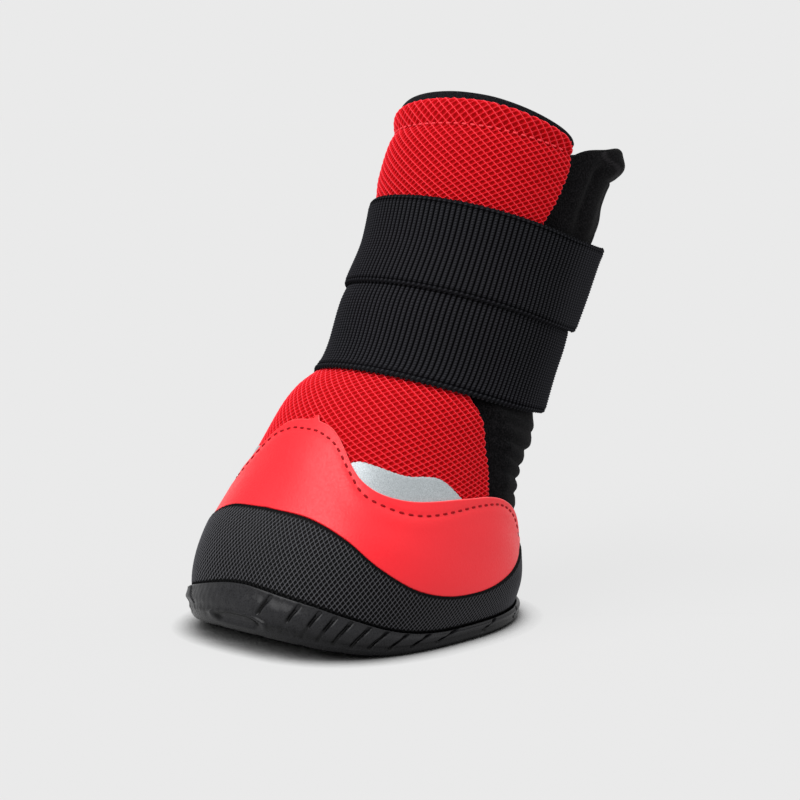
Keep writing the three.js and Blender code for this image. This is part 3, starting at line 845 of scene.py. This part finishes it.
def sew(name, line, stitch, material):
    """Stitches set out along a line of points, as one mesh"""
    points, faces = stitch_form(stitch["length"], stitch["thickness"])
    values = {
        "Thread": ("Geometry", None), "Shape": ("Object", one_to_repeat(name, np.array(points) * MM, faces)),
        "Pitch": ("Float", stitch["pitch"] * MM), "Finish": ("Material", material),
    }
    tree, given = open_tree(name, values)
    path = put(tree, "GeometryNodeMeshToCurve", {0: given["Thread"]})
    spots = put(tree, "GeometryNodeCurveToPoints", {
        0: path.outputs[0], "Length": given["Pitch"]}, mode="LENGTH")
    thread = bpy.data.meshes.new(name)
    thread.from_pydata((line * MM).tolist(), [(k, k + 1) for k in range(len(line) - 1)], [])
    places = {"Points": spots.outputs["Points"], "Rotation": spots.outputs["Rotation"]}
    seam = set_out(tree, given, values, places, 0.01 * MM, thread)
    seam.data.polygons.foreach_set("use_smooth", np.ones(len(seam.data.polygons), bool))
    return seam


hem_yarn = plain_finish("hem_yarn", srgb(240, 62, 72), 0.6, 0.3)
grain(hem_yarn, 0.2, 0.03)
hem_angle = np.linspace(-76, 74, 600)
hem_level = curve(HEM_SEAM, hem_angle)
hem_out = upper_shape(hem_angle, hem_level) + 0.3
hem_seam = sew("hem_seam", on_last(hem_angle, hem_level, hem_out), HEM_STITCH, hem_yarn)
fit(hem_seam, "red_mesh")


# Rear gusset: one soft black knit panel folded inside the throat, sewn behind the mesh edges.
# It lets the boot open wide, bulges in folds below the strap, and ends above in a flap that rolls out
# to a soft round edge. Its seam ridge, a line along the knob and the flap's top towards the heel
# are painted lighter, as highlights.
FLAP_TOP = [
    (70, 115.5), (84, 119.4), (92, 123.4), (103, 126.6), (116.5, 130.2), (130, 132.6), (150, 134.8),
    (180, 136),
]
GUSSET_BULGE = [(14, 0), (34, 0), (41, 0.6), (49, 1.2), (55, 0.5), (60, -0.2), (142, -0.2)]
GUSSET_WALL = 1.3
GUSSET_ROWS, GUSSET_COLUMNS = 210, 120
CREASES = (
    # level where it meets the mesh, how far it falls to the heel side, depth, width
    (33.5, 1.5, 0.30, 0.8),
    (38.0, 2.2, 0.55, 0.7),
    (42.6, 2.6, 0.75, 0.8),
    (46.6, 2.4, 0.60, 0.7),
    (50.2, 1.6, 0.70, 0.8),
    (53.6, 1.0, 0.45, 0.7),
)
KNOB = {"below_top": 3.8, "reach": 3.3, "swell": 2.4}
FLAP_FOLD = {"angle": 97, "half": 3.5, "depth": 1.1}
hidden_out = -UPPER_WALL - 0.6

gusset_share = np.linspace(0, 1, GUSSET_ROWS)[:, None]
gusset_across = np.linspace(0, 1, GUSSET_COLUMNS)[None, :]
gusset_level = np.full((GUSSET_ROWS, GUSSET_COLUMNS), 14.0)
for _ in range(4):
    gusset_start = curve(MESH_EDGE, gusset_level) - 5
    gusset_angle = mix(gusset_start, 360 - gusset_start, gusset_across)
    near_side = np.minimum(gusset_angle, 360 - gusset_angle)
    flap_top = curve(FLAP_TOP, near_side)
    gusset_level = mix(THROAT_BOTTOM - 3, flap_top, gusset_share)
inside = near_side - curve(MESH_EDGE, gusset_level)
free = rise(gusset_level, 19, 28) * rise(inside, 2, 16)
roll = 2.2 * rise(gusset_level, 113, 133) * rise(inside, 4, 40)
gusset_out = hidden_out + (-hidden_out - 0.1) * free + curve(GUSSET_BULGE, gusset_level) * free + roll
sag = rise(near_side, 85, 150)
for level, fall, depth, width in CREASES:
    away = gusset_level - (level - fall * sag + 0.5 * np.sin(np.radians(near_side * 3 + level * 20)))
    gusset_out = gusset_out + free * depth * (0.45 * hump(away, 1.7, 1.2) - hump(away, 0, width))
below_top = flap_top - gusset_level
fold_away = near_side - FLAP_FOLD["angle"] - 0.5 * np.maximum(gusset_level - 109, 0)
fold_deep = rise(gusset_level, 100, 108) * rise(below_top, 3, 6)
flap_fold = FLAP_FOLD["depth"] * hump(fold_away, 0, FLAP_FOLD["half"]) - 0.6 * hump(fold_away, 11, 6)
flap_seam = 0.4 * (hump(near_side, 126, 1.0) - 0.9 * hump(near_side, 129.2, 1.3))
flap_seam = flap_seam * rise(gusset_level, 98, 103) * rise(below_top, 7, 9)
on_knob = 1 - rise(below_top, 8, 10)
knob_line = 104 + 14 * rise(below_top, 0.5, 5) + 8 * rise(below_top, 5, 9)
knob_dent = 0.45 * hump(near_side, knob_line - 3, 1.8) * on_knob * rise(inside, 8, 20)
knob_foot = 0.6 * hump(below_top, 8.2, 0.8) * rise(near_side, 106, 118)
knob = hump(below_top, KNOB["below_top"], KNOB["reach"]) * rise(inside, 24, 42)
gusset_out = gusset_out - fold_deep * flap_fold + flap_seam - knob_dent - knob_foot
# Painted highlights: lighter along the seam's ridge, a line along the knob and the flap's top towards the
# heel.
crest_highlight = 2 * np.clip(flap_seam, 0, 1) + hump(near_side, knob_line, 1.6) * on_knob
crest_highlight = crest_highlight + 0.35 * rise(near_side, 116, 128) * (1 - rise(below_top, 6, 8))
gusset_knit = plain_finish("black_stretch_knit", srgb(20, 20, 22), 0.9, 0.03, Sheen_Weight=0.02)
gusset_noise = grain(gusset_knit, 0.4, 0.1, 4.0)
gusset_grain_and_highlight = reckon(gusset_knit.node_tree, "ADD", gusset_noise, relief_of(gusset_knit))
shade_by(gusset_knit, gusset_grain_and_highlight, srgb(6, 6, 7), srgb(50, 48, 50), 0.42, 1.25)
gusset_inner = gusset_out - GUSSET_WALL - 0.6 * knob
gusset_outer = gusset_out + KNOB["swell"] * knob
gusset_body = open_wall(gusset_angle, gusset_level, gusset_outer, gusset_inner, 7)
gusset_highlights = np.zeros(len(gusset_body[0]))
gusset_highlights[:crest_highlight.size] = 0.55 * crest_highlight.ravel()
gusset = make_piece("rear_gusset_panel", *gusset_body, gusset_knit, gusset_highlights)
fit(gusset, "black_fabric", "rear_gusset")


# Rand: a black rubberised band with a fine waffle face, glued round the foot between sole and upper.
# It is high at the toe and the heel and low at the sides. Its pits and both its edges are painted
# darker, as shade, and its ridges lighter, as highlight.
RAND_TOP = [
    (0, 28), (20, 27.2), (38, 24), (54, 19), (72, 14), (89, 12.2), (109, 14.5), (132, 20.5), (155, 24.5),
    (180, 26),
]
RAND_INNER, RAND_WALL, RAND_ROUND = 0.4, 1.1, 0.5
WAFFLE = 0.64
WAFFLE_DEPTH = 0.3
WAFFLE_ROWS = 44
rand_angle = np.linspace(0, 360, 361)[:-1][None, :]
rand_top = curve(RAND_TOP, np.minimum(rand_angle, 360 - rand_angle))
rand_share = np.linspace(0, 1, 24)[:, None]
rand_rubber = plain_finish("waffle_rubber", srgb(44, 44, 46), 0.5, 0.07)
shade_by(rand_rubber, relief_of(rand_rubber), srgb(4, 4, 5), srgb(89, 89, 93), 0.36, 1.0)
grain(rand_rubber, 0.3, 0.03)
rand_body = shell(*(
    on_last(rand_angle, mix(level_over(rand_angle, out, 0.4), rand_top - 0.3, rand_share), out)
    for out in (RAND_INNER + RAND_WALL - 0.3, RAND_INNER)), True)


def waffle_cell():
    """One square pit between four raised threads, standing on its corner; one way's threads lie lower"""
    half, low = WAFFLE / 2, -0.09
    points = [(WAFFLE, 0, 0), (half, half, low), (0, WAFFLE, 0), (-half, half, 0), (-WAFFLE, 0, 0),
              (-half, -half, low), (0, -WAFFLE, 0), (half, -half, 0)]
    points += [(0.56 * x, 0.56 * y, -WAFFLE_DEPTH) for x, y, _ in points[::2]]
    faces = [(8, 9, 10), (8, 10, 11)]
    for a in range(4):
        b = (a + 1) % 4
        faces += [(2 * a, 2 * a + 1, 8 + a), (2 * a + 1, 8 + b, 8 + a), (2 * a + 1, 2 * b, 8 + b)]
    return points, faces


rand_way, rand_turn = arc_of(13)
rand_round = rand_way(180) - rand_way(-180)
waffle_columns = round(rand_round / (2 * WAFFLE))
across = rand_round / waffle_columns
size = (across, WAFFLE, waffle_columns, WAFFLE_ROWS, across / 2)
waffle, waffle_faces = lay_out("rand_waffle", waffle_cell(), *size, rand_rubber)
waffle_angle = rand_turn((waffle[:, 0] + rand_round / 2) % rand_round - rand_round / 2)
waffle_level = waffle[:, 1] + (WAFFLE_ROWS - 1) * WAFFLE / 2 + 1.5
waffle_edge = curve(RAND_TOP, np.abs(waffle_angle)) - RAND_ROUND
waffle_up, waffle_in, waffle_tilt = turned_over(waffle_level - waffle_edge, RAND_ROUND)
waffle_out = RAND_INNER + RAND_WALL - waffle_in + waffle[:, 2] * np.cos(waffle_tilt)
waffle_place = on_last(waffle_angle, waffle_edge + waffle_up, waffle_out)
over_sole = waffle_place[:, 2] - curve(TOE_WALL, waffle_angle)
waffle_shown = (waffle_tilt < math.pi * 0.9) & (over_sole > -2.5)
waffle_used, waffle_faces = kept_faces(waffle, waffle_faces, waffle_shown)
rand_waffled = joined(rand_body, (waffle_place[waffle_used], waffle_faces.tolist()))
# Painted shade: the waffle's pits and the bands by the sole and the top edge are darker, its ridges lighter
# as highlight.
under_edge = waffle_edge + RAND_ROUND - waffle_level
waffle_shade = (1 + waffle[:, 2] / WAFFLE_DEPTH) * rise(over_sole, 0.2, 0.9) * rise(under_edge, 0.2, 0.9)
rand_painted_shade = np.concatenate([np.zeros(len(rand_body[0])), waffle_shade[waffle_used]])
rand = make_piece("rand_band", *rand_waffled, rand_rubber, rand_painted_shade)
fit(rand, "rand_rubber", "rand")


# Toe overlay: smooth red coated sheet over the vamp, cut in a wave with a small tip at the front.
# It runs back to a round wing on each side, and one row of dark red stitches follows its top edge.
OVERLAY_WALL = 0.8
OVERLAY_SEAT = 0.3
OVERLAY_STITCH = {"pitch": 2.5, "length": 1.5, "thickness": 0.62}
WING_END = 129
WING_FOOT = [(0, 0), (112, 0), (120, 0.6), (126, 2.2), (129, 4)]
overlay_swing = np.linspace(-1, 1, 361)[None, :]
overlay_angle = WING_END * np.sign(overlay_swing) * (1 - (1 - np.abs(overlay_swing)) ** 1.25)
overlay_foot = curve(RAND_TOP, np.abs(overlay_angle)) + curve(WING_FOOT, np.abs(overlay_angle)) + 0.3
overlay_top = np.maximum(curve(OVERLAY_TOP, np.abs(overlay_angle)), overlay_foot + 0.6)
overlay_rows = np.concatenate([[0, 0.01, 0.03], np.linspace(0.06, 0.94, 32), [0.97, 0.99, 1.0]])[:, None]
TIP = {"angle": 2.5, "half": 1.4, "height": 1.1}
SEAM_LINE = [
    (0, 44.2), (7, 44.0), (11, 43.4), (16, 42.5), (21, 40.8), (25, 38.9), (30, 36.4), (35, 34.0),
    (40, 32.5), (48, 31.2), (57, 30.2), (66, 30.1), (75, 31.0), (88, 33.0), (96, 33.7), (102, 33.6),
    (109, 32.5), (116, 30.4), (121, 28.0), (124.5, 25.0),
]
overlay_top = overlay_top + TIP["height"] * hump(overlay_angle, TIP["angle"], TIP["half"])
overlay_level = mix(overlay_foot, overlay_top, overlay_rows)


def overlay_shape(angle, level):
    """The overlay's face: drawn in along the stitches, a little full between them and its edges"""
    line = curve(SEAM_LINE, np.abs(angle))
    steep = (curve(SEAM_LINE, np.abs(angle) + 0.5) - line) / 0.3
    away = (level - line) / np.sqrt(1 + steep ** 2)
    wave = 0.12 * np.sin(angle * 0.11 + level * 0.35) * rise(line - level, 2, 8)
    return 0.1 * hump(away, -1.8, 1.2) - 0.2 * hump(away, 0, 0.55) + wave


coat = {"Coat_Weight": 0.05, "Coat_Roughness": 0.35}
coated = plain_finish("red_coated_leather", srgb(240, 36, 48), 0.4, 0.35, **coat)
dull_by(coated, grain(coated, 0.6, 0.06, 4.0), 0.36, 0.5)
shade_by(coated, relief_of(coated), srgb(234, 28, 40), srgb(255, 96, 100), 0.2, 0.9)
overlay_out = OVERLAY_SEAT + OVERLAY_WALL + overlay_shape(overlay_angle, overlay_level)
overlay_body = open_wall(overlay_angle, overlay_level, overlay_out, OVERLAY_SEAT)
overlay_rims = np.zeros(len(overlay_body[0]))
overlay_rims[overlay_level.size:overlay_level.size + 3 * overlay_swing.size] = 1.0
overlay = make_piece("toe_overlay_sheet", *overlay_body, coated, overlay_rims)
fit(overlay, "red_coated", "toe_overlay")

overlay_yarn = plain_finish("dark_red_yarn", srgb(140, 0, 12), 0.6, 0.15)
grain(overlay_yarn, 0.2, 0.03)
seam_angle = np.linspace(-124, 124, 1200)
seam_level = curve(SEAM_LINE, np.abs(seam_angle))
seam_out = OVERLAY_SEAT + OVERLAY_WALL + overlay_shape(seam_angle, seam_level) + 0.02
overlay_seam = sew("overlay_seam", on_last(seam_angle, seam_level, seam_out), OVERLAY_STITCH, overlay_yarn)
fit(overlay_seam, "red_coated")


# Reflective strips: thin silver tape of tiny glass beads, tucked behind the overlay's dip on each side.
# The overlay's stitches hold them too.
STRIP_TOP = [
    (26, 38.4), (28.8, 39.2), (32.2, 39.5), (40.8, 38.9), (48.2, 38.2), (54.5, 37.9), (61.5, 38.3),
    (67, 38.3), (72.2, 37.3), (78, 35.3), (83, 33.4),
]
STRIP_SEAT, STRIP_WALL = 0.15, 0.265
STRIP_TUCK = 1.5
tape = plain_finish("silver_reflective_tape", srgb(176, 187, 192), 0.42, 0.5, Metallic=0.5)
shade_by(tape, grain(tape, 0.18, 0.03, 3.0), srgb(138, 145, 148), srgb(190, 196, 199))
strips = []
for side in (1, -1):
    angle = side * np.linspace(26, 83, 115)[::side][None, :]
    foot = curve(OVERLAY_TOP, np.abs(angle)) - STRIP_TUCK
    ragged = 0.09 * np.sin(angle * 7.3) * np.sin(angle * 3.1 + 1)
    top = np.maximum(curve(STRIP_TOP, np.abs(angle)) + ragged, foot + 1.0)
    level = mix(foot, top, np.linspace(0, 1, 12)[:, None])
    strips.append(open_wall(angle, level, STRIP_SEAT + STRIP_WALL, STRIP_SEAT))
strips = make_piece("reflective_strips", *joined(*strips), tape)
fit(strips, "silver_tape", "reflective_strip_left", "reflective_strip_right")


# Strap: one black ribbed elastic 24 mm wide, sewn on behind, wound twice round the shaft.
# Its hook end lies on the second turn, behind the left side, and stands off a little at its upper corner.
STRAP = np.array([
    # turn, low, high, out at the low edge, out at the high edge
    (-176, 60.5, 82.0, 0.6, 0.6),
    (-150, 59.5, 81.0, 0.6, 0.6),
    (-90, 57, 80.0, 0.6, 0.6),
    (-47, 57, 79.8, 0.6, 0.75),
    (0, 57.5, 79.8, 0.6, 0.6),
    (90, 56.5, 79.8, 0.9, 0.9),
    (132, 58.5, 81.2, 2.0, 1.5),
    (158, 61, 83.5, 2.1, 1.3),
    (180, 66, 88.5, 2.2, 1.5),
    (215, 75, 97.5, 2.2, 0.9),
    (245, 79.5, 101.2, 2.2, 0.6),
    (270, 79, 100.6, 2.1, 0.6),
    (313, 78.8, 100.6, 2.0, 0.6),
    (360, 78.6, 100.6, 2.0, 0.6),
    (450, 78.4, 100.9, 2.2, 0.7),
    (470, 79.0, 102.0, 2.7, 1.6),
    (484, 80.2, 103.4, 3.2, 2.7),
    (500, 81.5, 105.3, 3.4, 3.2),
])
STRAP_WALL = 1.2
STRAP_WIDTH = 24.0
RIB_PITCH, KNIT_PITCH = 1.45, 0.72
RIB_HEIGHT, KNIT_HEIGHT = 0.28, 0.16
RIB_COLUMNS, RIB_ROWS = 5, 3
SELVEDGE = 0.32
elastic = plain_finish("black_elastic_rib", srgb(30, 30, 33), 0.75, 0.0)
shade_by(elastic, relief_of(elastic), srgb(5, 5, 6), srgb(56, 56, 60), 0.2, 1.0)
grain(elastic, 0.25, 0.05)


def strap_place(turn, share, lift):
    """A place on the strap: share across its width, lift over its underside"""
    low, high, out_low, out_high = curve(STRAP, turn)
    out = mix(out_low, out_high, rise(share, 0.05, 0.6))
    return on_last(turn, mix(low, high, share), out + lift)


def rib_cell():
    """One slanted bump of knit on one rib; its sides meet the next rib and the next bump"""
    points, faces = [], []
    for y in np.linspace(0, 1, RIB_ROWS):
        for x in np.linspace(0, 1, RIB_COLUMNS):
            bump = RIB_HEIGHT + KNIT_HEIGHT * math.cos(2 * math.pi * (y + 0.9 * x))
            height = math.sin(math.pi * x) ** 0.8 * bump if 0 < x < 1 else 0.0
            points.append(((x - 0.5) * RIB_PITCH, (y - 0.5) * KNIT_PITCH, height))
    for r in range(RIB_ROWS - 1):
        for c in range(RIB_COLUMNS - 1):
            a = r * RIB_COLUMNS + c
            b = a + RIB_COLUMNS
            faces += [(a, a + 1, b + 1), (a, b + 1, b)]
    return points, faces


strap_turn = np.linspace(STRAP[0, 0], STRAP[-1, 0], 420)[None, :]
strap_share = np.linspace(0.01, 0.99, 10)[:, None]
strap_body = shell(*(strap_place(strap_turn, strap_share, lift)
                     for lift in (STRAP_WALL - RIB_HEIGHT - 0.08, 0.0)), False)
strap_way = way_along(strap_place(strap_turn[0], 0.5, STRAP_WALL))
rib_columns = int(strap_way[-1] / RIB_PITCH)
rib_rows = int((STRAP_WIDTH + 2 * (math.pi - 1) * SELVEDGE) / KNIT_PITCH)
size = (RIB_PITCH, KNIT_PITCH, rib_columns, rib_rows, 0.0)
ribs, rib_faces = lay_out("elastic_ribs", rib_cell(), *size, elastic)
rib_turn = np.interp(ribs[:, 0] + strap_way[-1] / 2, strap_way, strap_turn[0])
side = np.sign(ribs[:, 1])
start_of_edge = STRAP_WIDTH / 2 - SELVEDGE
edge_on, edge_in, edge_tilt = turned_over(np.abs(ribs[:, 1]) - start_of_edge, SELVEDGE)
from_edge = start_of_edge + SELVEDGE - np.abs(ribs[:, 1])
flat_edge = 1 - 0.8 * hump(from_edge, 1.0, 0.2) - 0.15 * (1 - rise(from_edge, 0.7, 1.2))
lift = ribs[:, 2] * flat_edge
rib_share = 0.5 + side * (edge_on + start_of_edge + lift * np.sin(edge_tilt)) / STRAP_WIDTH
rib_lift = STRAP_WALL - RIB_HEIGHT - edge_in + lift * np.cos(edge_tilt)
rib_place = strap_place(rib_turn, rib_share, rib_lift - 0.2 * (1 - rise(from_edge, 0.2, 1.0)))
rib_used, rib_faces = kept_faces(ribs, rib_faces, edge_tilt < math.pi * 0.95)
strap_ribbed = joined(strap_body, (rib_place[rib_used], rib_faces.tolist()))
# Painted light: the hook end and the lower turn towards the heel are lighter, as where light falls.
painted_side_light = 0.16 * rise(rib_turn, 448, 472) + 0.1 * rise(rib_turn, 92, 112) * (1 - rise(rib_turn, 150, 170))
# Painted shade and highlight: rib tops lighter, the valleys and the band by each edge darker.
rib_shade = lift / (RIB_HEIGHT + KNIT_HEIGHT) + painted_side_light
strap_painted_shade = np.concatenate([np.full(len(strap_body[0]), 0.3), rib_shade[rib_used]])
strap = make_piece("elastic_strap", *strap_ribbed, elastic, strap_painted_shade)
fit(strap, "black_elastic", "strap")

visual_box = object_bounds()
({"cad": [list(corner) for corner in cad_box],
           "visual": [list(corner) for corner in visual_box]})
